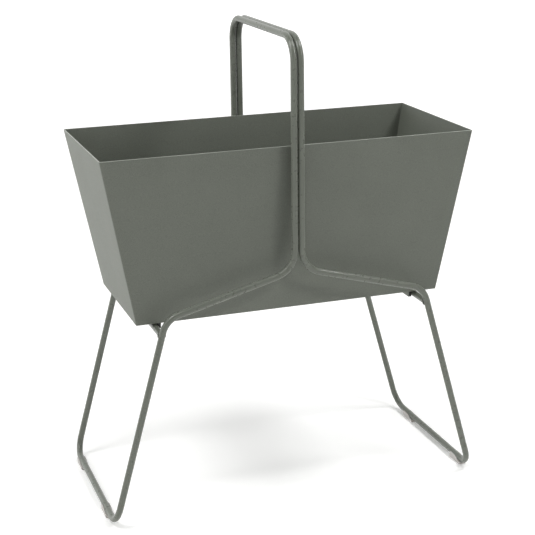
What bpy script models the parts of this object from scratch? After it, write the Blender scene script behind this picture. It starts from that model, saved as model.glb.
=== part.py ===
"""Raised planter: a folded sheet-steel tub standing on a frame of two bent round-bar loops.

Frame of reference: metres, +Z up, X along the tub, -Y towards the front.
The origin is on the floor, under the middle of the planter.
"""

import math

import bmesh
import bpy
from mathutils import Vector

# Tub, measured over the outside of the sheet
TUB_LENGTH = 0.700
TUB_DEPTH = 0.308
TUB_HEIGHT = 0.306
BASE_LENGTH = 0.586
BASE_DEPTH = 0.264
BASE_CLEARANCE = 0.372
TUB_SHEET = 0.002
FOLD_RADIUS = 0.005

# Frame of two closed loops of round bar, to the bar's centre line
BAR = 0.012
BAR_GAP = 0.0006
FRAME_DEPTH = 0.343
HANDLE_TOP = 0.8755
BELLY_HEIGHT = 0.4552
KNEE_SPREAD = 0.4970
KNEE_HEIGHT = 0.3905
FOOT_SPREAD = 0.7108
HANDLE_BEND = 0.044
BELLY_BEND = 0.048
KNEE_BEND = 0.042
FOOT_BEND = 0.034

# Angles under the tub, their rubber pads and the weld tacks between the two loops
ANGLE_SHEET = 0.002
ANGLE_LENGTH = 0.233
ANGLE_FLANGE = 0.020
ANGLE_LIP = 0.0152
ANGLE_BEND = 0.003
LIP_CLEARANCE = 0.005
PAD_THICKNESS = 0.0016
PAD_BUFFER = 0.0040
PAD_LENGTH = 0.032
TACK_LENGTH = 0.014
TACK_ROOT = 0.0015
TACK_DEPTH = 0.0045
TACK_INSET = 0.025

# Clip-on glides. Each inset runs from the end of the bar's straight floor run to the glide's middle
GLIDE_LENGTH = 0.043
GLIDE_FLOOR = 0.0040
GLIDE_CHEEK = 0.0012
GLIDE_CHAMFER = 0.001
GLIDE_GRIP_LENGTH = 0.021
GLIDE_GRIP_ANGLE = 20
GLIDE_TONGUE_ANGLE = -42
GLIDE_INSETS = {
    "front_left": (-1, -1, 0.039),
    "rear_left": (-1, 1, 0.018),
    "front_right": (1, -1, 0.015),
    "rear_right": (1, 1, 0.037),
}

# Drain plugs
DRAIN_SPACING = 0.300
DRAIN_HOLE = 0.012
PLUG_CLEARANCE = 0.0003
PLUG_HEAD = 0.020
PLUG_HEAD_THICKNESS = 0.0025
PLUG_REACH = 0.006
PLUG_GRIP = 0.008
PLUG_GRIP_HEIGHT = 0.007

# Gap left between touching pieces, and how finely round shapes are divided
GAP = 0.0003
BEND_STEPS = 8
BAR_ROUNDNESS = 5
FOLD_STEPS = 5
ROUND_SEGMENTS = 32
GLIDE_ARC_STEPS = 14
GLIDE_SIDE_STEPS = 6
GLIDE_TAPER_STEPS = 5

# Heights and places that follow from the sizes above
BAR_RADIUS = BAR / 2
BAR_PITCH = BAR + BAR_GAP
RIM_HEIGHT = BASE_CLEARANCE + TUB_HEIGHT
TUB_FLOOR = BASE_CLEARANCE + TUB_SHEET
FOOT_HEIGHT = GLIDE_FLOOR + GAP + BAR_RADIUS
ANGLE_TOP = BASE_CLEARANCE - GAP
PAD_TOP = ANGLE_TOP - ANGLE_SHEET - GAP
CROSSBAR_HEIGHT = PAD_TOP - PAD_THICKNESS - GAP - BAR_RADIUS
LEG_SLOPE = (FOOT_SPREAD - KNEE_SPREAD) / 2 / (KNEE_HEIGHT - FOOT_HEIGHT)
CROSSBAR_X = KNEE_SPREAD / 2 + LEG_SLOPE * (KNEE_HEIGHT - CROSSBAR_HEIGHT)
LIP_FACE = CROSSBAR_X - BAR_RADIUS - LIP_CLEARANCE
LIP_BOTTOM = ANGLE_TOP - ANGLE_LIP
END_SLOPE = (TUB_LENGTH - BASE_LENGTH) / 2 / TUB_HEIGHT
SIDE_SLOPE = (TUB_DEPTH - BASE_DEPTH) / 2 / TUB_HEIGHT


def clear_scene():
    for item in list(bpy.data.objects):
        bpy.data.objects.remove(item)


def principled(name, colour, roughness, metallic=0.0):
    """A plain Principled material in the piece's own colour."""
    material = bpy.data.materials.new(name)
    material.use_nodes = True
    shader = material.node_tree.nodes["Principled BSDF"]
    shader.inputs["Base Color"].default_value = (*colour, 1.0)
    shader.inputs["Roughness"].default_value = roughness
    shader.inputs["Metallic"].default_value = metallic
    return material


def place(name, data, material, location=(0, 0, 0)):
    """Puts mesh or curve data into the scene as a named object."""
    item = bpy.data.objects.new(name, data)
    item.location = location
    if not data.materials:
        data.materials.append(material)
    bpy.context.collection.objects.link(item)
    return item


def mesh_from(name, mesh):
    """Turns a finished bmesh into mesh data with its faces pointing outwards."""
    bmesh.ops.recalc_face_normals(mesh, faces=mesh.faces)
    data = bpy.data.meshes.new(name)
    mesh.to_mesh(data)
    mesh.free()
    return data


def shade_round(data, angle=35):
    data.shade_smooth()
    data.set_sharp_from_angle(angle=math.radians(angle))


def arc_at(corner, before, after, radius, steps):
    """Points of the round that replaces a corner between two straight runs."""
    to_before = (before - corner).normalized()
    to_after = (after - corner).normalized()
    half_angle = to_before.angle(to_after) / 2
    middle = corner + (to_before + to_after).normalized() * radius / math.sin(half_angle)
    start = corner + to_before * radius / math.tan(half_angle) - middle
    end = corner + to_after * radius / math.tan(half_angle) - middle
    turn = start.angle(end)
    points = []
    for step in range(steps + 1):
        share = step / steps
        weight_start = math.sin((1 - share) * turn) / math.sin(turn)
        weight_end = math.sin(share * turn) / math.sin(turn)
        points.append(middle + start * weight_start + end * weight_end)
    return points


def loft(name, sections):
    """Closed solid through a list of sections with equal point counts, capped at both ends."""
    mesh = bmesh.new()
    rings = [[mesh.verts.new(point) for point in section] for section in sections]
    count = len(sections[0])
    for ring, following in zip(rings, rings[1:]):
        for i in range(count):
            j = (i + 1) % count
            mesh.faces.new((ring[i], ring[j], following[j], following[i]))
    mesh.faces.new(list(reversed(rings[0])))
    mesh.faces.new(rings[-1])
    return mesh_from(name, mesh)


def turned(name, profile):
    """Solid of revolution about Z from (radius, height) pairs, listed from the top to the bottom."""
    mesh = bmesh.new()
    rings = []
    for radius, height in profile:
        ring = []
        for step in range(ROUND_SEGMENTS):
            angle = 2 * math.pi * step / ROUND_SEGMENTS
            ring.append(mesh.verts.new((radius * math.cos(angle), radius * math.sin(angle), height)))
        rings.append(ring)
    for ring, following in zip(rings, rings[1:]):
        for i in range(ROUND_SEGMENTS):
            j = (i + 1) % ROUND_SEGMENTS
            mesh.faces.new((ring[i], ring[j], following[j], following[i]))
    mesh.faces.new(rings[0])
    mesh.faces.new(list(reversed(rings[-1])))
    data = mesh_from(name, mesh)
    shade_round(data)
    return data


def bar(name, points, material, closed=False):
    """Round bar along a line of points, closed on itself or cut square at both ends."""
    curve = bpy.data.curves.new(name, "CURVE")
    curve.dimensions = "3D"
    curve.bevel_depth = BAR_RADIUS
    curve.bevel_resolution = BAR_ROUNDNESS
    curve.use_fill_caps = not closed
    spline = curve.splines.new("POLY")
    spline.points.add(len(points) - 1)
    for slot, point in zip(spline.points, points):
        slot.co = (*point, 1.0)
    spline.use_cyclic_u = closed
    spline.use_smooth = True
    return place(name, curve, material)


# The tub: one folded strip makes the floor and both ends, and two panels close the long sides

def end_profile(inset):
    """The strip's outline in X and Z, from the left rim under the floor to the right rim."""
    drop = inset
    side = inset * math.hypot(1, END_SLOPE)
    low = BASE_CLEARANCE + drop
    corner_x = BASE_LENGTH / 2 + END_SLOPE * drop - side
    rim_x = TUB_LENGTH / 2 - side
    rim = Vector((rim_x, 0, RIM_HEIGHT))
    corner = Vector((corner_x, 0, low))
    middle = Vector((0, 0, low))
    right = arc_at(corner, middle, rim, FOLD_RADIUS - inset, FOLD_STEPS) + [rim]
    left = [Vector((-point.x, 0, point.z)) for point in reversed(right)]
    return left + right


def side_face(height):
    """Distance from the middle to the outer face of a long side, at a height."""
    return BASE_DEPTH / 2 + SIDE_SLOPE * (height - BASE_CLEARANCE)


def tub_wrap(material):
    """Floor and both ends, folded from one strip that fits between the long sides."""
    sheet_across = TUB_SHEET * math.hypot(1, SIDE_SLOPE)
    outer = end_profile(0)
    inner = end_profile(TUB_SHEET)
    sections = []
    for outside, inside in zip(outer, inner):
        reach_out = side_face(outside.z) - sheet_across - GAP
        reach_in = side_face(inside.z) - sheet_across - GAP
        sections.append([
            (outside.x, -reach_out, outside.z),
            (outside.x, reach_out, outside.z),
            (inside.x, reach_in, inside.z),
            (inside.x, -reach_in, inside.z),
        ])
    wrap = place("tub_wrap", loft("tub_wrap", sections), material)
    for side in (-1, 1):
        cutter = place(f"drain_cutter_{side}", drain_cutter(), material, drain_place(side))
        cutter.hide_render = True
        cutter.display_type = "WIRE"
        cut = wrap.modifiers.new("drain hole", "BOOLEAN")
        cut.operation = "DIFFERENCE"
        cut.object = cutter
    return wrap


def drain_place(side):
    return (side * DRAIN_SPACING / 2, 0, TUB_FLOOR)


def drain_cutter():
    depth = 2 * TUB_SHEET
    return turned("drain_cutter", [(DRAIN_HOLE / 2, depth), (DRAIN_HOLE / 2, -depth)])


def tub_panel(name, side, material):
    """One long side: a flat panel whose outline follows the strip's outer profile."""
    sheet_across = TUB_SHEET * math.hypot(1, SIDE_SLOPE)
    outline = end_profile(0)
    outer = [(p.x, side * side_face(p.z), p.z) for p in outline]
    inner = [(p.x, side * (side_face(p.z) - sheet_across), p.z) for p in outline]
    return place(name, loft(name, [outer, inner]), material)


# The frame

def loop_points(side):
    """Centre line of one loop: over the handle, down both uprights, out to the legs and along the floor."""
    half_depth = FRAME_DEPTH / 2
    inner_x = side * BAR_PITCH / 2
    knee_x = side * KNEE_SPREAD / 2
    foot_x = side * FOOT_SPREAD / 2
    handle_height = HANDLE_TOP - BAR_RADIUS
    front = [
        (Vector((inner_x, -half_depth, handle_height)), HANDLE_BEND),
        (Vector((inner_x, -half_depth, BELLY_HEIGHT)), BELLY_BEND),
        (Vector((knee_x, -half_depth, KNEE_HEIGHT)), KNEE_BEND),
        (Vector((foot_x, -half_depth, FOOT_HEIGHT)), FOOT_BEND),
    ]
    rear = [(Vector((p.x, -p.y, p.z)), radius) for p, radius in reversed(front)]
    corners = front + rear
    points = []
    for i, (corner, radius) in enumerate(corners):
        before = corners[i - 1][0]
        after = corners[(i + 1) % len(corners)][0]
        points += arc_at(corner, before, after, radius, BEND_STEPS)
    return points


def crossbar(name, side, material):
    """Bar welded between the front and the rear leg, under the tub."""
    reach = FRAME_DEPTH / 2 - BAR_RADIUS - GAP
    ends = [Vector((side * CROSSBAR_X, y, CROSSBAR_HEIGHT)) for y in (-reach, reach)]
    return bar(name, ends, material)


def valley_half_width(depth):
    """Half the room between the two bars, at a distance from the plane of their centre lines."""
    return BAR_PITCH / 2 - math.sqrt(BAR_RADIUS ** 2 - depth ** 2) - GAP


def tack_data():
    """Weld bead that fills the valley between the two bars, along X = 0 and running in Z."""
    depths = [TACK_ROOT + (TACK_DEPTH - TACK_ROOT) * i / 3 for i in range(4)]
    crown = TACK_DEPTH + valley_half_width(TACK_DEPTH) / 3
    half = [(valley_half_width(depth), depth) for depth in depths]
    outline = half + [(0, crown)] + [(-x, y) for x, y in reversed(half)]
    sections = []
    for height, scale in ((-0.5, 0.6), (-0.35, 1.0), (0.35, 1.0), (0.5, 0.6)):
        section = []
        for x, y in outline:
            scaled_y = TACK_ROOT + (y - TACK_ROOT) * scale
            scaled_x = math.copysign(valley_half_width(scaled_y), x) if x else 0
            section.append((scaled_x, scaled_y, height * TACK_LENGTH))
        sections.append(section)
    return loft("weld_tack", sections)


def weld_tacks(material):
    """Tacks that join the loops, on the tub's side of the uprights and under the handle."""
    data = tack_data()
    half_depth = FRAME_DEPTH / 2
    upper = RIM_HEIGHT - TACK_INSET
    lower = BELLY_HEIGHT + BELLY_BEND + TACK_INSET
    for label, height in (("upper", upper), ("lower", lower)):
        front = place(f"weld_tack_front_{label}", data, material, (0, -half_depth, height))
        rear = place(f"weld_tack_rear_{label}", data, material, (0, half_depth, height))
        front.rotation_euler = (0, 0, 0)
        rear.rotation_euler = (0, 0, math.pi)
    for label, side in (("front", -1), ("rear", 1)):
        spot = (0, side * half_depth / 2, HANDLE_TOP - BAR_RADIUS)
        tack = place(f"weld_tack_handle_{label}", data, material, spot)
        tack.rotation_euler = (-math.pi / 2, 0, 0)


# Fittings between the tub and the frame

def locating_angle(name, side, material):
    """Angle under the tub: its flange lies over the crossbar and its lip hangs inside the bar."""
    outer_x = LIP_FACE + ANGLE_FLANGE - ANGLE_SHEET
    inner_x = LIP_FACE - ANGLE_SHEET
    top = ANGLE_TOP
    outer_corner = Vector((inner_x, 0, top))
    inner_corner = Vector((LIP_FACE, 0, top - ANGLE_SHEET))
    outline = [Vector((outer_x, 0, top))]
    outline += arc_at(outer_corner, Vector((outer_x, 0, top)), Vector((inner_x, 0, LIP_BOTTOM)), ANGLE_BEND, 4)
    outline += [Vector((inner_x, 0, LIP_BOTTOM)), Vector((LIP_FACE, 0, LIP_BOTTOM))]
    outline += arc_at(
        inner_corner,
        Vector((LIP_FACE, 0, LIP_BOTTOM)),
        Vector((outer_x, 0, top - ANGLE_SHEET)),
        ANGLE_BEND - ANGLE_SHEET,
        4,
    )
    outline += [Vector((outer_x, 0, top - ANGLE_SHEET))]
    sections = [[(side * p.x, y, p.z) for p in outline] for y in (-ANGLE_LENGTH / 2, ANGLE_LENGTH / 2)]
    return place(name, loft(name, sections), material)


def rubber_pad(name, side, end, material):
    """Rubber L in one end of an angle: under the flange, on top of the crossbar, and down the lip beside it."""
    outer_x = LIP_FACE + ANGLE_FLANGE - ANGLE_SHEET
    inner_x = LIP_FACE + GAP
    buffer_x = inner_x + PAD_BUFFER
    under = PAD_TOP - PAD_THICKNESS
    corner = Vector((inner_x, 0, PAD_TOP))
    round_radius = ANGLE_BEND - ANGLE_SHEET - GAP
    outline = [Vector((outer_x, 0, PAD_TOP))]
    outline += arc_at(corner, Vector((outer_x, 0, PAD_TOP)), Vector((inner_x, 0, LIP_BOTTOM)), round_radius, 3)
    outline += [Vector((inner_x, 0, LIP_BOTTOM)), Vector((buffer_x, 0, LIP_BOTTOM))]
    outline += [Vector((buffer_x, 0, under)), Vector((outer_x, 0, under))]
    ends = sorted((end * ANGLE_LENGTH / 2, end * (ANGLE_LENGTH / 2 - PAD_LENGTH)))
    sections = [[(side * p.x, y, p.z) for p in outline] for y in ends]
    return place(name, loft(name, sections), material)


def glide_section(y, grip_angle):
    """One cross-section of a glide around the bar, open at the top, with cheeks up to the grip angle."""
    inner = BAR_RADIUS + GAP
    outer = inner + GLIDE_CHEEK
    start = math.radians(grip_angle)
    points = []
    for step in range(GLIDE_ARC_STEPS + 1):
        angle = math.pi - start + (math.pi + 2 * start) * step / GLIDE_ARC_STEPS
        width = math.cos(angle) if math.sin(angle) < 0 else math.copysign(1, math.cos(angle))
        points.append((inner * width, y, inner * math.sin(angle)))
    tip = inner * math.sin(start)
    foot = GLIDE_CHAMFER - FOOT_HEIGHT
    right = []
    for step in range(GLIDE_SIDE_STEPS + 1):
        height = tip + (foot - tip) * step / GLIDE_SIDE_STEPS
        right.append((math.sqrt(outer ** 2 - max(height, 0) ** 2), y, height))
    right.append((outer - GLIDE_CHAMFER, y, -FOOT_HEIGHT))
    return points + right + [(-x, y, z) for x, y, z in reversed(right)]


def glide_data():
    """Clip-on glide: a full-length sole with gripping cheeks over its rear part only."""
    half = GLIDE_LENGTH / 2
    grip_end = half - GLIDE_GRIP_LENGTH
    taper = GLIDE_LENGTH / 5
    sections = [glide_section(half, GLIDE_GRIP_ANGLE)]
    for step in range(GLIDE_TAPER_STEPS + 1):
        share = step / GLIDE_TAPER_STEPS
        blend = (1 - math.cos(math.pi * share)) / 2
        angle = GLIDE_GRIP_ANGLE + (GLIDE_TONGUE_ANGLE - GLIDE_GRIP_ANGLE) * blend
        sections.append(glide_section(grip_end - taper * share, angle))
    sections.append(glide_section(-half, GLIDE_TONGUE_ANGLE))
    return loft("glide", sections)


def drain_plug_data():
    """Rubber plug: a head that seals on the tub's floor, a stem through the hole and a grip to pull."""
    stem = DRAIN_HOLE / 2 - PLUG_CLEARANCE
    head = PLUG_HEAD / 2
    low = GAP
    high = GAP + PLUG_HEAD_THICKNESS
    grip = PLUG_GRIP / 2
    return turned("drain_plug", [
        (grip * 0.8, high + PLUG_GRIP_HEIGHT),
        (grip, high + PLUG_GRIP_HEIGHT * 0.85),
        (grip, high + PLUG_GRIP_HEIGHT * 0.6),
        (grip * 0.7, high + PLUG_GRIP_HEIGHT * 0.4),
        (grip * 0.7, high),
        (head - 0.001, high),
        (head, high - 0.001),
        (head, low),
        (stem, low),
        (stem, -PLUG_REACH + 0.002),
        (stem * 0.8, -PLUG_REACH),
    ])


def build():
    clear_scene()
    tub_coat = principled("tub_powder_coat", (0.115, 0.125, 0.102), 0.55)
    frame_coat = principled("frame_powder_coat", (0.115, 0.125, 0.102), 0.5)
    weld_coat = principled("coated_weld", (0.10, 0.11, 0.09), 0.6)
    angle_coat = principled("angle_powder_coat", (0.115, 0.125, 0.102), 0.55)
    pad_rubber = principled("pad_rubber", (0.02, 0.02, 0.02), 0.8)
    plug_rubber = principled("plug_rubber", (0.03, 0.03, 0.03), 0.7)
    glide_plastic = principled("glide_plastic", (0.50, 0.47, 0.45), 0.4)

    tub_wrap(tub_coat)
    tub_panel("tub_front_panel", -1, tub_coat)
    tub_panel("tub_rear_panel", 1, tub_coat)

    for label, side in (("left", -1), ("right", 1)):
        bar(f"frame_loop_{label}", loop_points(side), frame_coat, closed=True)
        crossbar(f"crossbar_{label}", side, frame_coat)
        locating_angle(f"locating_angle_{label}", side, angle_coat)
        for end_label, end in (("front", -1), ("rear", 1)):
            rubber_pad(f"rubber_pad_{end_label}_{label}", side, end, pad_rubber)
    weld_tacks(weld_coat)

    glide = glide_data()
    straight_end = FRAME_DEPTH / 2 - FOOT_BEND
    for label, (side, end, inset) in GLIDE_INSETS.items():
        spot = (side * FOOT_SPREAD / 2, end * (straight_end - inset), FOOT_HEIGHT)
        place(f"glide_{label}", glide, glide_plastic, spot)

    plug = drain_plug_data()
    for label, side in (("left", -1), ("right", 1)):
        place(f"drain_plug_{label}", plug, plug_rubber, drain_place(side))


build()
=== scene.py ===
import math

import bmesh
import bpy
from mathutils import Matrix, Vector


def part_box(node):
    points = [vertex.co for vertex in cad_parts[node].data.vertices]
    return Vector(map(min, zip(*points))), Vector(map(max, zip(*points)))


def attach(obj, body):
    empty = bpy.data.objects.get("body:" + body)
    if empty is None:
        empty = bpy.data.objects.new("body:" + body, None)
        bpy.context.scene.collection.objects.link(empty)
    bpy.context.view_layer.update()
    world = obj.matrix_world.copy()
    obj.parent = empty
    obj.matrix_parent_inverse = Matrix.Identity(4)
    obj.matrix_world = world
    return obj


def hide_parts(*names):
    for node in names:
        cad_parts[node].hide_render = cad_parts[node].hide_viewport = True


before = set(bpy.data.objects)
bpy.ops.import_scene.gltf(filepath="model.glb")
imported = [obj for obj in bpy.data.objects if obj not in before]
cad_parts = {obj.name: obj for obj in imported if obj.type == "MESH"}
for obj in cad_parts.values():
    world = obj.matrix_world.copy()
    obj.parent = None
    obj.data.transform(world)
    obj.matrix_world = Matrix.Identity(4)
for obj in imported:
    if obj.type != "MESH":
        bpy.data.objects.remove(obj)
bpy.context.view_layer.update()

# The camera. A long lens a little above the rim looks at the front and the left end, so that the
# upright lines stay nearly parallel. It leans by less than a degree.
CAMERA_AZIMUTH = math.radians(19.018)
CAMERA_ELEVATION = math.radians(17.132)
CAMERA_ROLL = math.radians(-0.795)
CAMERA_DISTANCE = 2.6161
CAMERA_LENS_MM = 91.68
CAMERA_SENSOR_MM = 36
CAMERA_TARGET = Vector((0.0001, 0.0, 0.40937))


def add_camera():
    backward = Vector((
        -math.sin(CAMERA_AZIMUTH) * math.cos(CAMERA_ELEVATION),
        -math.cos(CAMERA_AZIMUTH) * math.cos(CAMERA_ELEVATION),
        math.sin(CAMERA_ELEVATION),
    ))
    level = backward.to_track_quat("Z", "Y").to_matrix().to_4x4()
    camera = bpy.data.objects.new("camera", bpy.data.cameras.new("camera"))
    camera.data.sensor_width = CAMERA_SENSOR_MM
    camera.data.lens = CAMERA_LENS_MM
    place = Matrix.Translation(CAMERA_TARGET + backward * CAMERA_DISTANCE)
    camera.matrix_world = place @ level @ Matrix.Rotation(CAMERA_ROLL, 4, "Z")
    bpy.context.collection.objects.link(camera)
    bpy.context.scene.camera = camera


add_camera()

# The two loops of the frame. Each is one 12 mm round steel bar, bent cold on a former into a closed
# shape: half the handle, two uprights, two diagonals, two legs and the run along the floor.
# The bars are powder coated after welding, in one grey-green coat.
BAR_DIAMETER = 0.012
BAR_GAP = 0.0006
FRAME_DEPTH = 0.343
HANDLE_LINE = 0.8695
BELLY_LINE = 0.4552
KNEE_X = 0.2485
KNEE_LINE = 0.3905
FOOT_X = 0.3554
FOOT_LINE = 0.0103
HANDLE_BEND = 0.044
BELLY_BEND = 0.048
KNEE_BEND = 0.042
FOOT_BEND = 0.034
BEND_STEPS = 20
BAR_ROUNDNESS = 14
NOISE_LOW, NOISE_HIGH = 0.3, 0.7
FILM_PATCH_MM = 90
SHEEN_SPREAD = 0.008


def linear(hex_colour):
    """An sRGB hex colour as a linear RGBA tuple."""
    channels = [int(hex_colour[i:i + 2], 16) / 255 for i in (1, 3, 5)]
    return (*[c / 12.92 if c <= 0.04045 else ((c + 0.055) / 1.055) ** 2.4 for c in channels], 1.0)


def add_node(tree, kind, settings=None, values=None, links=None):
    """A node with its settings, its socket values, and the sockets that feed it."""
    node = tree.nodes.new(kind)
    for name, value in (settings or {}).items():
        setattr(node, name, value)
    for name, value in (values or {}).items():
        node.inputs[name].default_value = value
    for name, source in (links or {}).items():
        tree.links.new(source, node.inputs[name])
    return node


def new_material(name):
    material = bpy.data.materials.new(name)
    material.use_nodes = True
    material.node_tree.nodes.clear()
    return material, material.node_tree


def finish_material(tree, shader):
    output = add_node(tree, "ShaderNodeOutputMaterial")
    tree.links.new(shader.outputs["BSDF"], output.inputs["Surface"])


def powder_coat(name, colour, shade, roughness, speckle,
                grain_mm, grain_height_mm, peel_mm, peel_height_mm):
    """Polyester powder melted onto steel: an even dull colour with a faint sheen, fine grain where
    the powder didn't level, and a slow waviness that breaks up the edges of highlights."""
    material, tree = new_material(name)
    place = add_node(tree, "ShaderNodeTexCoord").outputs["Object"]
    cloud = add_node(tree, "ShaderNodeTexNoise", None,
                     {"Scale": 1000 / FILM_PATCH_MM, "Detail": 3.0, "Roughness": 0.55},
                     {"Vector": place})
    grain = add_node(tree, "ShaderNodeTexNoise", None,
                     {"Scale": 1000 / grain_mm, "Detail": 2.0, "Roughness": 0.6}, {"Vector": place})
    peel = add_node(tree, "ShaderNodeTexNoise", None,
                    {"Scale": 1000 / peel_mm, "Detail": 1.0, "Roughness": 0.4}, {"Vector": place})
    film = add_node(tree, "ShaderNodeMapRange", None,
                    {"From Min": NOISE_LOW, "From Max": NOISE_HIGH},
                    {"Value": cloud.outputs["Fac"]})
    flecks = add_node(tree, "ShaderNodeMapRange", None,
                      {"From Min": NOISE_LOW, "From Max": NOISE_HIGH,
                       "To Min": 1 - speckle, "To Max": 1 + speckle},
                      {"Value": grain.outputs["Fac"]})
    blend = add_node(tree, "ShaderNodeMix", {"data_type": "RGBA"}, None,
                     {"Factor": film.outputs["Result"]})
    blend.inputs["A"].default_value = linear(colour)
    blend.inputs["B"].default_value = linear(shade)
    tint = add_node(tree, "ShaderNodeVectorMath", {"operation": "SCALE"}, None,
                    {"Vector": blend.outputs["Result"], "Scale": flecks.outputs["Result"]})
    sheen = add_node(tree, "ShaderNodeMapRange", None,
                     {"From Min": NOISE_LOW, "From Max": NOISE_HIGH,
                      "To Min": roughness - SHEEN_SPREAD, "To Max": roughness + SHEEN_SPREAD},
                     {"Value": peel.outputs["Fac"]})
    waves = add_node(tree, "ShaderNodeBump", None,
                     {"Strength": 1.0, "Distance": peel_height_mm / 1000},
                     {"Height": peel.outputs["Fac"]})
    relief = add_node(tree, "ShaderNodeBump", None,
                      {"Strength": 1.0, "Distance": grain_height_mm / 1000},
                      {"Height": grain.outputs["Fac"], "Normal": waves.outputs["Normal"]})
    shader = add_node(tree, "ShaderNodeBsdfPrincipled", None, {"IOR": 1.5},
                      {"Base Color": tint.outputs["Vector"], "Roughness": sheen.outputs["Result"],
                       "Normal": relief.outputs["Normal"]})
    finish_material(tree, shader)
    return material


# Satin powder coat on round bar: smooth enough for a soft line of light along the bar. Its grain is
# about 0.3 mm across, and it is drawn three times as coarse.
bar_coat = powder_coat(
    "satin_powder_coat_on_bar", colour="#666A61", shade="#62665D", roughness=0.28, speckle=0.03,
    grain_mm=0.9, grain_height_mm=0.002, peel_mm=6.0, peel_height_mm=0.003)


def round_corner(corner, before, after, radius, steps):
    """Points of the arc that takes the place of a corner between two straight runs."""
    towards_before = (before - corner).normalized()
    towards_after = (after - corner).normalized()
    half = towards_before.angle(towards_after) / 2
    centre = corner + (towards_before + towards_after).normalized() * radius / math.sin(half)
    start = corner + towards_before * radius / math.tan(half) - centre
    end = corner + towards_after * radius / math.tan(half) - centre
    turn = start.angle(end)
    points = []
    for i in range(steps + 1):
        blend = start * math.sin((1 - i / steps) * turn) + end * math.sin(i / steps * turn)
        points.append(centre + blend / math.sin(turn))
    return points


def loop_line(side):
    """The bent bar's centre line, once round."""
    half_depth = FRAME_DEPTH / 2
    inner_x = side * (BAR_DIAMETER + BAR_GAP) / 2
    front = [
        (Vector((inner_x, -half_depth, HANDLE_LINE)), HANDLE_BEND),
        (Vector((inner_x, -half_depth, BELLY_LINE)), BELLY_BEND),
        (Vector((side * KNEE_X, -half_depth, KNEE_LINE)), KNEE_BEND),
        (Vector((side * FOOT_X, -half_depth, FOOT_LINE)), FOOT_BEND),
    ]
    rear = [(Vector((point.x, -point.y, point.z)), bend) for point, bend in reversed(front)]
    corners = front + rear
    points = []
    for i, (corner, bend) in enumerate(corners):
        before = corners[i - 1][0]
        after = corners[(i + 1) % len(corners)][0]
        points += round_corner(corner, before, after, bend, BEND_STEPS)
    return points


def rod(name, points, material, closed=False, radii=None,
        thickness=BAR_DIAMETER / 2, roundness=BAR_ROUNDNESS):
    """A round bar or weld bead along a line of points. radii scale the thickness at each point."""
    curve = bpy.data.curves.new(name, "CURVE")
    curve.dimensions = "3D"
    curve.bevel_depth = thickness
    curve.bevel_resolution = roundness
    curve.use_fill_caps = not closed
    spline = curve.splines.new("POLY")
    spline.points.add(len(points) - 1)
    for i, (slot, point) in enumerate(zip(spline.points, points)):
        slot.co = (*point, 1.0)
        slot.radius = radii[i] if radii else 1.0
    spline.use_cyclic_u = closed
    spline.use_smooth = True
    curve.materials.append(material)
    piece = bpy.data.objects.new(name, curve)
    bpy.context.collection.objects.link(piece)
    return piece


for label, side in (("left", -1), ("right", 1)):
    loop = rod(f"bent_bar_{label}", loop_line(side), bar_coat, closed=True)
    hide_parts(f"frame_loop_{label}")
    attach(loop, "frame")

# The crossbars. On each side a short length of the same bar runs from the front leg to the rear leg,
# just under the tub, and carries it. A fillet weld run once round the bar holds each end.
CROSSBAR_X, CROSSBAR_LINE = 0.25643, 0.3615
WELD_THROAT = 0.0019
WELD_RIPPLES = 15
WELD_STEPS = 120
WELD_ROUNDNESS = 5
SADDLE_REACH = 0.9
WELD_SINK = 0.35
WELD_STAND_OFF = 0.1
WELD_TROUGH = 0.82
RIPPLE_SHAPE = 0.7

# Powder coat over a weld bead: the same colour, slightly duller where it lies over the ripples. Its
# 0.3 mm grain is drawn nearly three times as coarse.
weld_coat = powder_coat(
    "powder_coat_on_weld_bead", colour="#5F635A", shade="#5A5E55", roughness=0.5, speckle=0.07,
    grain_mm=0.8, grain_height_mm=0.015, peel_mm=3.0, peel_height_mm=0.03)


def crossbar_weld(name, side, end):
    """The fillet bead where a crossbar meets a leg, along the saddle between the two round bars."""
    bar_radius = BAR_DIAMETER / 2
    lean = math.atan2(FOOT_X - KNEE_X, KNEE_LINE - FOOT_LINE)
    across = Vector((math.cos(lean), 0, side * math.sin(lean)))
    points = []
    radii = []
    for i in range(WELD_STEPS):
        turn = 2 * math.pi * i / WELD_STEPS
        out = Vector((math.cos(turn), 0, math.sin(turn)))
        reach = bar_radius * SADDLE_REACH * out.dot(across)
        depth = math.sqrt(bar_radius ** 2 - reach ** 2)
        y = end * (FRAME_DEPTH / 2 - depth - WELD_THROAT * WELD_SINK)
        stand_off = bar_radius + WELD_THROAT * WELD_STAND_OFF
        points.append(Vector((side * CROSSBAR_X, y, CROSSBAR_LINE)) + out * stand_off)
        ripple = abs(math.sin(turn * WELD_RIPPLES / 2))
        radii.append(WELD_TROUGH + (1 - WELD_TROUGH) * ripple ** RIPPLE_SHAPE)
    bead = rod(name, points, weld_coat, closed=True, radii=radii, thickness=WELD_THROAT,
               roundness=WELD_ROUNDNESS)
    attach(bead, "frame")


for label, side in (("left", -1), ("right", 1)):
    reach = FRAME_DEPTH / 2 - BAR_DIAMETER / 4
    ends = [Vector((side * CROSSBAR_X, y, CROSSBAR_LINE)) for y in (-reach, reach)]
    crossbar = rod(f"tub_crossbar_{label}", ends, bar_coat)
    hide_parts(f"crossbar_{label}")
    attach(crossbar, "frame")
    crossbar_weld(f"crossbar_weld_front_{label}", side, -1)
    crossbar_weld(f"crossbar_weld_rear_{label}", side, 1)

# The tacks between the two loops. Short runs of weld lie in the valley between the pair of bars, on
# the tub's side of the uprights and under the handle, where a hand and the eye don't meet them.
TACK_LENGTH = 0.014
TACK_RADIUS = 0.0022
TACK_DEPTH = 0.0043
TACK_RIPPLE = 0.0018
TACK_TROUGH = 0.88
TACK_STEPS = 56
TACK_ROUNDNESS = 6
TAPER_POWER = 4
BLUNT_TIP = 0.02


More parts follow.
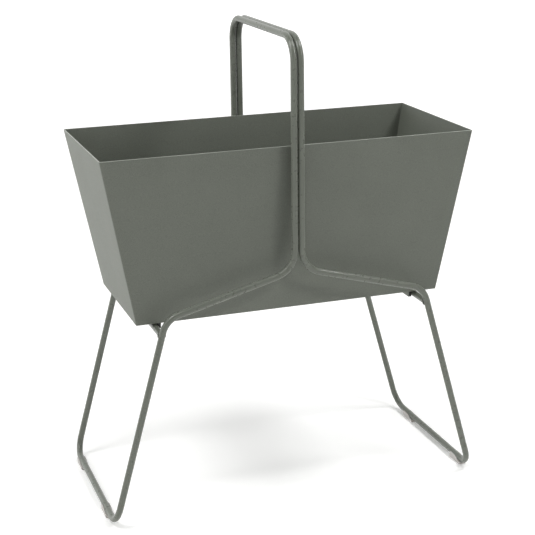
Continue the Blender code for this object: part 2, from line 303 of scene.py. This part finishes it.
def rippled_run(centre, along, length, trough):
    """Points and thickness shares of a straight rippled bead that tapers at both ends."""
    points = []
    radii = []
    for i in range(TACK_STEPS + 1):
        share = i / TACK_STEPS - 0.5
        taper = math.sqrt(max(1 - (2 * share) ** TAPER_POWER, BLUNT_TIP))
        wave = abs(math.sin(math.pi * (share + 0.5) * length / TACK_RIPPLE))
        points.append(centre + along * share * length)
        radii.append(taper * (trough + (1 - trough) * wave))
    return points, radii


def tack(node, centre, along, towards):
    """One weld tack, sunk towards the valley between the two bars."""
    points, radii = rippled_run(centre + towards * TACK_DEPTH, along, TACK_LENGTH, TACK_TROUGH)
    bead = rod(f"bead_{node}", points, weld_coat, radii=radii, thickness=TACK_RADIUS,
               roundness=TACK_ROUNDNESS)
    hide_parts(node)
    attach(bead, "frame")


for name, direction in (("front", 1), ("rear", -1)):
    for level in ("upper", "lower"):
        low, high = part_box(f"weld_tack_{name}_{level}")
        middle = Vector((0, -direction * FRAME_DEPTH / 2, (low[2] + high[2]) / 2))
        tack(f"weld_tack_{name}_{level}", middle, Vector((0, 0, 1)), Vector((0, direction, 0)))
    low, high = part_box(f"weld_tack_handle_{name}")
    middle = Vector((0, (low[1] + high[1]) / 2, HANDLE_LINE))
    tack(f"weld_tack_handle_{name}", middle, Vector((0, 1, 0)), Vector((0, 0, -1)))

# The tub. Its floor and ends are one folded strip of 2 mm steel, and its long sides are two flat
# sheets. The corners are welded and ground to a small even round, so that the coated tub looks like
# one piece. Two round holes in the floor let the water out.
TUB_LENGTH, TUB_DEPTH = 0.700, 0.308
BASE_LENGTH, BASE_DEPTH = 0.586, 0.264
TUB_LOW, TUB_RIM = 0.372, 0.678
TUB_SHEET = 0.002
FOLD_ROUND = 0.005
CORNER_ROUND = 0.0022
SEAM_ROUND = 0.0018
RIM_ROUND = 0.0009
FOLD_SEGMENTS = 5
RIM_SEGMENTS = 3
SQUARE_EDGE = math.radians(60)
SHEET_SMOOTH_DEGREES = 50
FACE_AREA_WEIGHT = 100
DRAIN_X = 0.150
DRAIN_RADIUS = 0.006
DRAIN_SEGMENTS = 64
CUTTER_LENGTH = 0.02

# Fine-texture powder coat on sheet: nearly matt, with a grain like very fine sand. The real grain
# is about 0.3 mm across, and it is drawn nearly five times as coarse so that it shows at all.
sheet_coat = powder_coat(
    "fine_texture_powder_coat_on_sheet", colour="#666A61", shade="#62665D", roughness=0.56,
    speckle=0.15, grain_mm=1.4, grain_height_mm=0.05, peel_mm=9.0, peel_height_mm=0.010)

# On the rim the coat is painted paler than on the sheet: a painted highlight that draws a fine light
# line round the top of the tub. It is also smoother there. Its grain is drawn as coarse as the
# sheet's.
rim_coat_painted_highlight = powder_coat(
    "rim_coat_with_painted_highlight", colour="#8B8F86", shade="#84887F", roughness=0.34,
    speckle=0.05, grain_mm=1.4, grain_height_mm=0.01, peel_mm=9.0, peel_height_mm=0.005)


def baked(piece):
    """Takes the result of a piece's modifiers as its mesh."""
    bpy.context.view_layer.update()
    graph = bpy.context.evaluated_depsgraph_get()
    mesh = bpy.data.meshes.new_from_object(piece.evaluated_get(graph))
    piece.modifiers.clear()
    piece.data = mesh


def add_piece(name, mesh, material):
    """Links a finished bmesh as a named object in one material."""
    data = bpy.data.meshes.new(name)
    bmesh.ops.recalc_face_normals(mesh, faces=mesh.faces)
    mesh.to_mesh(data)
    mesh.free()
    data.materials.append(material)
    piece = bpy.data.objects.new(name, data)
    bpy.context.collection.objects.link(piece)
    return piece


def modify(piece, kind, settings):
    modifier = piece.modifiers.new(kind.lower(), kind)
    for name, value in settings.items():
        setattr(modifier, name, value)


def smooth_by_angle(piece, degrees):
    piece.data.shade_smooth()
    piece.data.set_sharp_from_angle(angle=math.radians(degrees))


def tub_skin():
    """The tub's outer faces as an open box, each edge weighted with the round that it gets."""
    mesh = bmesh.new()
    rings = []
    for length, depth, z in ((BASE_LENGTH, BASE_DEPTH, TUB_LOW), (TUB_LENGTH, TUB_DEPTH, TUB_RIM)):
        corners = ((-1, -1), (1, -1), (1, 1), (-1, 1))
        rings.append([mesh.verts.new((sx * length / 2, sy * depth / 2, z)) for sx, sy in corners])
    low, high = rings
    mesh.faces.new(reversed(low))
    for i in range(4):
        j = (i + 1) % 4
        mesh.faces.new((low[i], low[j], high[j], high[i]))
    weight = mesh.edges.layers.float.new("bevel_weight_edge")
    for edge in mesh.edges:
        a, b = (v.co for v in edge.verts)
        if a.z != b.z:
            edge[weight] = CORNER_ROUND / FOLD_ROUND
        elif a.z == TUB_LOW:
            edge[weight] = 1.0 if a.x == b.x else SEAM_ROUND / FOLD_ROUND
    return mesh


def drain_cutter(side):
    mesh = bmesh.new()
    bmesh.ops.create_cone(mesh, cap_ends=True, segments=DRAIN_SEGMENTS, radius1=DRAIN_RADIUS,
                          radius2=DRAIN_RADIUS, depth=CUTTER_LENGTH)
    cutter = add_piece(f"drain_cutter_{side}", mesh, sheet_coat)
    cutter.location = (side * DRAIN_X, 0, TUB_LOW)
    return cutter


tub = add_piece("tub_shell", tub_skin(), sheet_coat)
modify(tub, "BEVEL", {"limit_method": "WEIGHT", "width": FOLD_ROUND, "segments": FOLD_SEGMENTS,
                      "offset_type": "OFFSET"})
modify(tub, "SOLIDIFY", {"thickness": TUB_SHEET, "offset": -1, "use_even_offset": True})
baked(tub)
modify(tub, "BEVEL", {"limit_method": "ANGLE", "angle_limit": SQUARE_EDGE, "width": RIM_ROUND,
                      "segments": RIM_SEGMENTS})
cutters = [drain_cutter(side) for side in (-1, 1)]
for cutter in cutters:
    modify(tub, "BOOLEAN", {"operation": "DIFFERENCE", "object": cutter, "solver": "EXACT"})
baked(tub)
for cutter in cutters:
    bpy.data.objects.remove(cutter)
smooth_by_angle(tub, SHEET_SMOOTH_DEGREES)
modify(tub, "WEIGHTED_NORMAL", {"keep_sharp": True, "weight": FACE_AREA_WEIGHT})
baked(tub)
# The rim's top faces take the paler coat: a painted highlight along the top edge.
tub.data.materials.append(rim_coat_painted_highlight)
for face in tub.data.polygons:
    if face.center.z > TUB_RIM - RIM_ROUND:
        face.material_index = 1
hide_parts("tub_wrap", "tub_front_panel", "tub_rear_panel")
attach(tub, "tub")

# The locating angles. Each is a strip of 2 mm sheet folded to an L and stitched to the tub's
# underside. The flange lies over the crossbar, and the lip hangs just inside it, so that the tub
# can't slide off the frame.
LIP_INNER_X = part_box("locating_angle_right")[0][0]
FLANGE_WIDTH = 0.020
LIP_HEIGHT = 0.0152
ANGLE_HALF_LENGTH = 0.1165
ANGLE_TOP = 0.3717
ANGLE_FOLD = 0.003
ANGLE_FOLD_STEPS = 10
CUT_EDGE_ROUND = 0.0003
CUT_EDGE_SEGMENTS = 2
STITCH_LENGTH = 0.022
STITCH_RADIUS = 0.0016
STITCH_TROUGH = 0.86
STITCH_INSET = 0.0002
STITCH_SINK = 0.0004
STITCH_PLACES = (-0.095, 0.0, 0.095)


def angle_outline(side):
    """The L in X and Z: along the top of the flange, round the fold, down the lip and back."""
    inner = LIP_INNER_X
    face = LIP_INNER_X + TUB_SHEET
    outer = LIP_INNER_X + FLANGE_WIDTH
    bottom = ANGLE_TOP - LIP_HEIGHT
    under = ANGLE_TOP - TUB_SHEET
    flange_end, lip_end = Vector((outer, 0, ANGLE_TOP)), Vector((inner, 0, bottom))
    outside = round_corner(Vector((inner, 0, ANGLE_TOP)), flange_end, lip_end, ANGLE_FOLD,
                           ANGLE_FOLD_STEPS)
    lip_inside, flange_inside = Vector((face, 0, bottom)), Vector((outer, 0, under))
    inside = round_corner(Vector((face, 0, under)), lip_inside, flange_inside,
                          ANGLE_FOLD - TUB_SHEET, ANGLE_FOLD_STEPS)
    outline = [flange_end, *outside, lip_end, lip_inside, *inside, flange_inside]
    return [Vector((side * p.x, 0, p.z)) for p in outline]


def extruded(name, outline, half_length, material):
    """A closed outline in X and Z, carried along Y and capped."""
    mesh = bmesh.new()
    front = [mesh.verts.new((p.x, -half_length, p.z)) for p in outline]
    rear = [mesh.verts.new((p.x, half_length, p.z)) for p in outline]
    for i in range(len(outline)):
        j = (i + 1) % len(outline)
        mesh.faces.new((front[i], front[j], rear[j], rear[i]))
    mesh.faces.new(front)
    mesh.faces.new(list(reversed(rear)))
    return add_piece(name, mesh, material)


def stitch_weld(name, centre):
    """One short bead along the outside corner where an angle meets the tub's floor."""
    points, radii = rippled_run(centre, Vector((0, 1, 0)), STITCH_LENGTH, STITCH_TROUGH)
    bead = rod(name, points, weld_coat, radii=radii, thickness=STITCH_RADIUS,
               roundness=WELD_ROUNDNESS)
    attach(bead, "tub")


for label, side in (("left", -1), ("right", 1)):
    angle = extruded(f"folded_angle_{label}", angle_outline(side), ANGLE_HALF_LENGTH, sheet_coat)
    modify(angle, "BEVEL", {"limit_method": "ANGLE", "angle_limit": SQUARE_EDGE,
                            "width": CUT_EDGE_ROUND, "segments": CUT_EDGE_SEGMENTS})
    baked(angle)
    smooth_by_angle(angle, SHEET_SMOOTH_DEGREES)
    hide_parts(f"locating_angle_{label}")
    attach(angle, "tub")
    for i, y in enumerate(STITCH_PLACES):
        spot = Vector((side * (LIP_INNER_X + STITCH_INSET), y, ANGLE_TOP - STITCH_SINK))
        stitch_weld(f"stitch_weld_{label}_{i + 1}", spot)

# The rubber pads. An L of closed-cell rubber is glued into each end of each angle: under the
# flange, where it rests on the crossbar, and down the lip beside the bar. It keeps coat off coat and
# stops the tub ringing. Their black is also painted shade: it fills the deep shade under the tub's
# floor beside the bar.
PAD_GAP = 0.0003
PAD_THICKNESS = 0.0016
PAD_BUFFER = 0.0040
PAD_ROUND = 0.0004
PAD_SEGMENTS = 3
PAD_FOLD_STEPS = 6
CELL_MM = 0.7
DUST_MM = 4


def foam_rubber_and_painted_shade():
    """Black closed-cell rubber, cut from sheet: dull, with a skin of fine pits. Its black is also
    painted shade under the tub. The real cells are about 0.2 mm across, and they are drawn more than
    three times as coarse."""
    material, tree = new_material("black_rubber_and_painted_shade")
    place = add_node(tree, "ShaderNodeTexCoord").outputs["Object"]
    cells = add_node(tree, "ShaderNodeTexVoronoi", None,
                     {"Scale": 1000 / CELL_MM}, {"Vector": place})
    dust = add_node(tree, "ShaderNodeTexNoise", None,
                    {"Scale": 1000 / DUST_MM, "Detail": 3.0}, {"Vector": place})
    blend = add_node(tree, "ShaderNodeMix", {"data_type": "RGBA"}, None,
                     {"Factor": dust.outputs["Fac"]})
    blend.inputs["A"].default_value = linear("#1E1E1D")
    blend.inputs["B"].default_value = linear("#2B2B29")
    pits = add_node(tree, "ShaderNodeBump", None, {"Strength": 0.8, "Distance": 0.0001},
                    {"Height": cells.outputs["Distance"]})
    shader = add_node(tree, "ShaderNodeBsdfPrincipled", None, {"Roughness": 0.85, "IOR": 1.5},
                      {"Base Color": blend.outputs["Result"], "Normal": pits.outputs["Normal"]})
    finish_material(tree, shader)
    return material


def pad_outline(side):
    """The L in X and Z: along the top, round the corner inside the fold, down, and back."""
    inner = LIP_INNER_X + TUB_SHEET + PAD_GAP
    outer = LIP_INNER_X + FLANGE_WIDTH
    top = ANGLE_TOP - TUB_SHEET - PAD_GAP
    bottom = ANGLE_TOP - LIP_HEIGHT
    flange_end, lip_end = Vector((outer, 0, top)), Vector((inner, 0, bottom))
    fold = ANGLE_FOLD - TUB_SHEET - PAD_GAP
    corner = Vector((inner, 0, top))
    buffer, under = inner + PAD_BUFFER, top - PAD_THICKNESS
    arc = round_corner(corner, flange_end, lip_end, fold, PAD_FOLD_STEPS)
    outline = [flange_end, *arc, lip_end]
    outline += [Vector((buffer, 0, bottom)), Vector((buffer, 0, under)), Vector((outer, 0, under))]
    return [Vector((side * p.x, 0, p.z)) for p in outline]


# The pads' black is partly their rubber and partly painted shade under the tub's floor.
pad_rubber_and_painted_shade = foam_rubber_and_painted_shade()
for corner in ("front_left", "rear_left", "front_right", "rear_right"):
    low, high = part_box(f"rubber_pad_{corner}")
    outline = pad_outline(math.copysign(1, low[0]))
    pad = extruded(f"black_pad_as_painted_shade_{corner}", outline, (high[1] - low[1]) / 2, pad_rubber_and_painted_shade)
    pad.location.y = (low[1] + high[1]) / 2
    modify(pad, "BEVEL", {"limit_method": "ANGLE", "angle_limit": SQUARE_EDGE,
                          "width": PAD_ROUND, "segments": PAD_SEGMENTS})
    baked(pad)
    smooth_by_angle(pad, SHEET_SMOOTH_DEGREES)
    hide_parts(f"rubber_pad_{corner}")
    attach(pad, "tub")

# The drain plugs. Each is moulded in one piece of black rubber: a thin head that seals on the tub's
# floor, a tapered stem in the hole, and a ribbed stub to pull it out by. Each table gives radii and
# heights in millimetres, and the heights run from the level that the table is named for.
PLUG_SEGMENTS = 64
PLUG_SMOOTH_DEGREES = 60
STEM_LENGTH = 0.0060
HEAD_CLEARANCE = 0.0003
HEAD_THICKNESS = 0.0025
RIB_COUNT = 3
FIRST_RIB_MM, RIB_PITCH_MM = -2.2, -1.1
STUB_TOP_MM = ((0.6, 0.0), (2.6, -0.1), (3.5, -0.7), (4.0, -1.6))
RIB_MM = ((4.0, 0.0), (3.6, -0.3), (3.6, -0.6), (4.0, -0.9))
HEAD_TOP_MM = ((3.0, 1.0), (3.2, 0.3), (4.2, 0.0), (7.0, -0.2), (9.0, -0.6), (9.8, -1.2))
HEAD_UNDERSIDE_MM = ((10.0, 0.6), (9.8, 0.1), (9.4, 0.0), (6.0, 0.0), (5.7, -0.8))
STEM_TIP_MM = ((5.7, 2.0), (5.2, 0.6), (4.6, 0.1), (0.6, 0.0))
BLOOM_MM = 5
RUBBER_SKIN_MM = 0.5


def moulded_rubber():
    """Black moulded rubber: a soft sheen from the mould, dulled in patches by handling and dust.
    The skin's fine grain is drawn coarser than the real one, so that it shows."""
    material, tree = new_material("moulded_black_rubber")
    place = add_node(tree, "ShaderNodeTexCoord").outputs["Object"]
    bloom = add_node(tree, "ShaderNodeTexNoise", None,
                     {"Scale": 1000 / BLOOM_MM, "Detail": 4.0}, {"Vector": place})
    skin = add_node(tree, "ShaderNodeTexNoise", None,
                    {"Scale": 1000 / RUBBER_SKIN_MM, "Detail": 2.0}, {"Vector": place})
    blend = add_node(tree, "ShaderNodeMix", {"data_type": "RGBA"}, None,
                     {"Factor": bloom.outputs["Fac"]})
    blend.inputs["A"].default_value = linear("#1C1C1C")
    blend.inputs["B"].default_value = linear("#2E2D2B")
    sheen = add_node(tree, "ShaderNodeMapRange", None, {"To Min": 0.5, "To Max": 0.75},
                     {"Value": bloom.outputs["Fac"]})
    relief = add_node(tree, "ShaderNodeBump", None, {"Strength": 0.5, "Distance": 0.00005},
                      {"Height": skin.outputs["Fac"]})
    shader = add_node(tree, "ShaderNodeBsdfPrincipled", None, {"IOR": 1.5},
                      {"Base Color": blend.outputs["Result"], "Roughness": sheen.outputs["Result"],
                       "Normal": relief.outputs["Normal"]})
    finish_material(tree, shader)
    return material


plug_rubber = moulded_rubber()


def plug_profile(base, top):
    """Radius and height pairs from the middle of the pull stub down to the tip of the stem."""
    head_low = base + STEM_LENGTH + HEAD_CLEARANCE
    head_high = head_low + HEAD_THICKNESS
    ribs = [(top + (FIRST_RIB_MM + i * RIB_PITCH_MM) / 1000, RIB_MM) for i in range(RIB_COUNT)]
    levels = [(top, STUB_TOP_MM), *ribs, (head_high, HEAD_TOP_MM)]
    levels += [(head_low, HEAD_UNDERSIDE_MM), (base, STEM_TIP_MM)]
    profile = []
    for level, table in levels:
        profile += [(radius / 1000, level + height / 1000) for radius, height in table]
    return profile


for label, side in (("left", -1), ("right", 1)):
    low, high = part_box(f"drain_plug_{label}")
    mesh = bmesh.new()
    rings = []
    for radius, z in plug_profile(low[2], high[2]):
        turns = [2 * math.pi * i / PLUG_SEGMENTS for i in range(PLUG_SEGMENTS)]
        spots = [(side * DRAIN_X + radius * math.cos(t), radius * math.sin(t), z) for t in turns]
        rings.append([mesh.verts.new(spot) for spot in spots])
    for ring, following in zip(rings, rings[1:]):
        for i in range(PLUG_SEGMENTS):
            j = (i + 1) % PLUG_SEGMENTS
            mesh.faces.new((ring[i], ring[j], following[j], following[i]))
    mesh.faces.new(rings[0])
    mesh.faces.new(list(reversed(rings[-1])))
    plug = add_piece(f"moulded_plug_{label}", mesh, plug_rubber)
    smooth_by_angle(plug, PLUG_SMOOTH_DEGREES)
    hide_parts(f"drain_plug_{label}")
    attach(plug, f"drain_plug_{label}")

# The glides. Each is a saddle of pale nylon that clips up over the floor run from below. A flat
# sole runs its full length, and the cheeks that grip the bar rise over the rear part and fall away
# in a curve.
GLIDE_INNER = 0.0063
GLIDE_WALL = 0.0012
GRIP_ANGLE = math.radians(20)
TONGUE_ANGLE = math.radians(-42)
GRIP_ROUND_DROP = math.radians(45)
GRIP_ROUNDING = 0.16
FALL_START = 0.40
FALL_LENGTH = 0.55
GLIDE_SECTIONS = 56
GLIDE_ARC_STEPS = 24
GLIDE_SIDE_STEPS = 10
GLIDE_SMOOTH_DEGREES = 40
END_ROUND = 0.0012
SOLE_EDGE = 0.0010
SOLE_ROUND = 0.0003
CHEEK_THINNEST = 0.0002
MILK_MM = 12
NYLON_SKIN_MM = 0.8


def moulded_nylon():
    """Natural nylon, moulded: milky, slightly see-through at thin edges, with a faint warm grey
    cast. The mould's fine texture is drawn coarser than the real one, so that it shows."""
    material, tree = new_material("moulded_natural_nylon")
    place = add_node(tree, "ShaderNodeTexCoord").outputs["Object"]
    milk = add_node(tree, "ShaderNodeTexNoise", None,
                    {"Scale": 1000 / MILK_MM, "Detail": 2.0}, {"Vector": place})
    skin = add_node(tree, "ShaderNodeTexNoise", None,
                    {"Scale": 1000 / NYLON_SKIN_MM, "Detail": 2.0}, {"Vector": place})
    blend = add_node(tree, "ShaderNodeMix", {"data_type": "RGBA"}, None,
                     {"Factor": milk.outputs["Fac"]})
    blend.inputs["A"].default_value = linear("#BCB8B4")
    blend.inputs["B"].default_value = linear("#B1ADAA")
    sheen = add_node(tree, "ShaderNodeMapRange", None, {"To Min": 0.34, "To Max": 0.46},
                     {"Value": skin.outputs["Fac"]})
    relief = add_node(tree, "ShaderNodeBump", None, {"Strength": 0.4, "Distance": 0.00004},
                      {"Height": skin.outputs["Fac"]})
    shader = add_node(tree, "ShaderNodeBsdfPrincipled", None,
                      {"IOR": 1.53, "Subsurface Weight": 0.25,
                       "Subsurface Radius": (0.004, 0.0035, 0.003)},
                      {"Base Color": blend.outputs["Result"], "Roughness": sheen.outputs["Result"],
                       "Normal": relief.outputs["Normal"]})
    finish_material(tree, shader)
    return material


glide_nylon = moulded_nylon()


def glide_section(y, cheek_angle, pinch):
    """One cross-section round the bar's axis. pinch draws the outside in at the ends."""
    outer = GLIDE_INNER + GLIDE_WALL * (1 - pinch)
    sole = -FOOT_LINE + END_ROUND * pinch
    points = []
    for i in range(GLIDE_ARC_STEPS + 1):
        turn = math.pi - cheek_angle + (math.pi + 2 * cheek_angle) * i / GLIDE_ARC_STEPS
        width = math.cos(turn) if math.sin(turn) < 0 else math.copysign(1, math.cos(turn))
        points.append((GLIDE_INNER * width, y, GLIDE_INNER * math.sin(turn)))
    tip = GLIDE_INNER * math.sin(cheek_angle)
    foot = sole + SOLE_EDGE
    right = []
    for i in range(GLIDE_SIDE_STEPS + 1):
        height = tip + (foot - tip) * i / GLIDE_SIDE_STEPS
        round_width = outer ** 2 - max(height, 0) ** 2
        thinnest_width = (GLIDE_INNER + CHEEK_THINNEST) ** 2
        right.append((math.sqrt(max(round_width, thinnest_width)), y, height))
    right.append((outer - SOLE_ROUND, y, sole + SOLE_ROUND))
    right.append((outer - SOLE_EDGE, y, sole))
    return points + right + [(-x, y, z) for x, y, z in reversed(right)]


def glide_mesh(length):
    """Sections from the gripping end to the tongue, drawn in at both ends as moulded edges are."""
    half = length / 2
    mesh = bmesh.new()
    rings = []
    for i in range(GLIDE_SECTIONS + 1):
        share = i / GLIDE_SECTIONS
        y = half - length * share
        fall = min(max((share - FALL_START) / FALL_LENGTH, 0), 1)
        cheek = GRIP_ANGLE + (TONGUE_ANGLE - GRIP_ANGLE) * (1 - math.cos(math.pi * fall)) / 2
        from_grip_end = min(share / GRIP_ROUNDING, 1)
        cheek -= GRIP_ROUND_DROP * (1 - math.sqrt(1 - (1 - from_grip_end) ** 2))
        from_end = min(half - abs(y), END_ROUND) / END_ROUND
        pinch = 1 - math.sqrt(1 - (1 - from_end) ** 2)
        rings.append([mesh.verts.new(point) for point in glide_section(y, cheek, pinch)])
    count = len(rings[0])
    for ring, following in zip(rings, rings[1:]):
        for i in range(count):
            j = (i + 1) % count
            mesh.faces.new((ring[i], ring[j], following[j], following[i]))
    mesh.faces.new(list(reversed(rings[0])))
    mesh.faces.new(rings[-1])
    return mesh


for corner in ("front_left", "rear_left", "front_right", "rear_right"):
    low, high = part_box(f"glide_{corner}")
    mesh = glide_mesh(high[1] - low[1])
    middle = ((low[0] + high[0]) / 2, (low[1] + high[1]) / 2, FOOT_LINE)
    bmesh.ops.translate(mesh, vec=middle, verts=mesh.verts)
    glide = add_piece(f"nylon_glide_{corner}", mesh, glide_nylon)
    smooth_by_angle(glide, GLIDE_SMOOTH_DEGREES)
    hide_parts(f"glide_{corner}")
    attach(glide, "frame")

# The studio: a pale matt floor and, far off, a low round wall that closes it in on every side. Both
# glow faintly, more so away from the object, so that nothing behind it is black from any side. Seen
# from low behind, the far floor is a grey band and the wall's foot shows as a soft line.
FLOOR_SIZE = 60.0
FLOOR_DROP = 0.0002
NEAR_GLOW, FAR_GLOW = 0.20, 0.42
GLOW_NEAR_RADIUS, GLOW_FAR_RADIUS = 1.8, 5.0
WALL_RADIUS = 28.0
WALL_HEIGHT = 7.0
WALL_SEGMENTS = 96
CLOUDS_PER_METRE = 1.5
OBJECT_MIDDLE = (0, 0, 0.4)


def studio_paper():
    """Pale matt studio floor, lit from below: faint near the middle and bright in the distance."""
    material, tree = new_material("pale_matt_studio_floor")
    place = add_node(tree, "ShaderNodeTexCoord").outputs["Object"]
    cloud = add_node(tree, "ShaderNodeTexNoise", None,
                     {"Scale": CLOUDS_PER_METRE, "Detail": 2.0}, {"Vector": place})
    blend = add_node(tree, "ShaderNodeMix", {"data_type": "RGBA"}, None,
                     {"Factor": cloud.outputs["Fac"]})
    blend.inputs["A"].default_value = linear("#FAFAF9")
    blend.inputs["B"].default_value = linear("#F8F8F7")
    radius = add_node(tree, "ShaderNodeVectorMath", {"operation": "LENGTH"}, None,
                      {"Vector": place})
    glow = add_node(tree, "ShaderNodeMapRange", {"interpolation_type": "SMOOTHSTEP"},
                    {"From Min": GLOW_NEAR_RADIUS, "From Max": GLOW_FAR_RADIUS,
                     "To Min": NEAR_GLOW, "To Max": FAR_GLOW}, {"Value": radius.outputs["Value"]})
    shader = add_node(tree, "ShaderNodeBsdfPrincipled", None,
                      {"Roughness": 0.9, "Specular IOR Level": 0.2,
                       "Emission Color": linear("#FFFFFF")},
                      {"Base Color": blend.outputs["Result"],
                       "Emission Strength": glow.outputs["Result"]})
    finish_material(tree, shader)
    return material


floor_mesh = bmesh.new()
bmesh.ops.create_grid(floor_mesh, x_segments=1, y_segments=1, size=FLOOR_SIZE / 2)
floor_paper = studio_paper()
floor = add_piece("studio_floor", floor_mesh, floor_paper)
floor.location = (0, 0, -FLOOR_DROP)

wall_mesh = bmesh.new()
bmesh.ops.create_cone(wall_mesh, segments=WALL_SEGMENTS, radius1=WALL_RADIUS, radius2=WALL_RADIUS,
                      depth=WALL_HEIGHT)
bmesh.ops.translate(wall_mesh, vec=(0, 0, WALL_HEIGHT / 2), verts=wall_mesh.verts)
wall = add_piece("studio_wall", wall_mesh, floor_paper)


def soft_light(name, place, aim, width, height, watts):
    """A rectangular soft box at a place, turned to face a point."""
    lamp = bpy.data.lights.new(name, "AREA")
    lamp.shape = "RECTANGLE"
    lamp.size = width
    lamp.size_y = height
    lamp.energy = watts
    light = bpy.data.objects.new(name, lamp)
    light.location = place
    light.rotation_euler = (Vector(place) - Vector(aim)).to_track_quat("Z", "Y").to_euler()
    bpy.context.collection.objects.link(light)


soft_light("soft_box_left", place=(-2.3, -0.4, 1.6), aim=OBJECT_MIDDLE,
           width=1.6, height=1.4, watts=13)
soft_light("soft_box_left_rear", place=(-1.8, 1.7, 0.9), aim=OBJECT_MIDDLE,
           width=1.4, height=1.4, watts=11.5)
soft_light("key_right", place=(1.2, -1.8, 2.2), aim=OBJECT_MIDDLE, width=0.6, height=0.4, watts=20)
soft_light("top_left", place=(-1.4, -0.3, 2.4), aim=OBJECT_MIDDLE, width=0.6, height=0.6, watts=19)
soft_light("top_right", place=(1.4, -0.3, 2.4), aim=OBJECT_MIDDLE, width=0.6, height=0.6, watts=19)
soft_light("top_strip", place=(0, -0.65, 2.7), aim=(0, -0.1, 0.4), width=2.6, height=0.25, watts=13)
soft_light("floor_panel_behind", place=(3.0, 7.5, 3.5), aim=(3.0, 7.5, 0),
           width=14.0, height=13.0, watts=580)

world = bpy.data.worlds.new("studio_air")
world.use_nodes = True
world.node_tree.nodes["Background"].inputs["Strength"].default_value = 0.0
bpy.context.scene.world = world
bpy.context.scene.view_settings.view_transform = "Standard"
